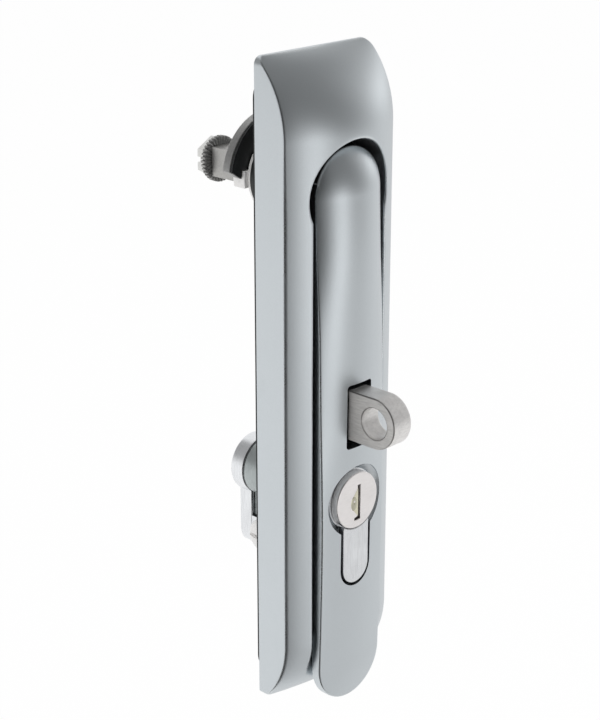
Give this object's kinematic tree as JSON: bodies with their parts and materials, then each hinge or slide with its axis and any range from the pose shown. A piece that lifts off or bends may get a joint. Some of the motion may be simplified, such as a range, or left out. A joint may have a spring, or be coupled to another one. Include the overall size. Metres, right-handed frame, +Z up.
{
  "type": "swing handle latch",
  "caption": "Swing handle latch for a cabinet door, with a dish, a lifting lever with a profile half cylinder, a padlock eye and a quarter-turn spindle behind the door.",
  "frame": {"origin": "on the spindle axis in the front face of the door, which is the rear face of the gasket", "axes": "+Y into the door along the spindle, +Z up along the dish, +X to the right as seen from the front"},
  "size_m": [0.0406, 0.0704, 0.1799],
  "materials": {
    "die_cast": "satin grey paint on a zinc casting",
    "die_cast_lever": "satin grey paint on a zinc casting",
    "gasket_rubber": "black sheet rubber",
    "warm_steel": "bead-blasted steel",
    "zinc_steel": "zinc-plated",
    "black_plastic": "moulded",
    "pale_zinc": "cast and passivated",
    "nickel_brass": "nickel-plated brass, brushed",
    "yellow_brass": "polished",
    "dark_steel": "sintered steel"
  },
  "bodies": {
    "dish_assembly": {"dish": "die_cast", "gasket": "gasket_rubber", "padlock_eye": "warm_steel", "eye_screws": "zinc_steel", "door_collar": "black_plastic", "stop_ring": "pale_zinc", "swivel_head": "zinc_steel", "pivot_pin": "zinc_steel", "keeper": "black_plastic", "keeper_screws": "zinc_steel", "lever_buffer": "gasket_rubber"},
    "lever_assembly": {"lever": "die_cast_lever", "cylinder_body": "nickel_brass", "cylinder_screw": "zinc_steel"},
    "lock_plug": {"cylinder_plug": "nickel_brass", "key_pin": "yellow_brass", "lock_bit": "dark_steel", "plug_clip": "dark_steel"},
    "cam_spindle": {"spindle": "zinc_steel", "limit_disc": "zinc_steel", "limit_disc_liner": "black_plastic", "lock_washer": "dark_steel", "cam_screw": "zinc_steel"}
  },
  "joints": [
    {"name": "handle_lift", "type": "hinge", "parent": "dish_assembly", "child": "lever_assembly", "pos_m": [0, -0.0095, 0], "axis": [-1, 0, 0], "range_deg": [0, 35]},
    {"name": "key_turn", "type": "hinge", "parent": "lever_assembly", "child": "lock_plug", "pos_m": [0, 0, -0.0851], "axis": [0, -1, 0], "range_deg": [0, 90]},
    {"name": "cam_turn", "type": "hinge", "parent": "dish_assembly", "child": "cam_spindle", "pos_m": [0, 0, 0], "axis": [0, 1, 0], "range_deg": [0, 90]}
  ]
}
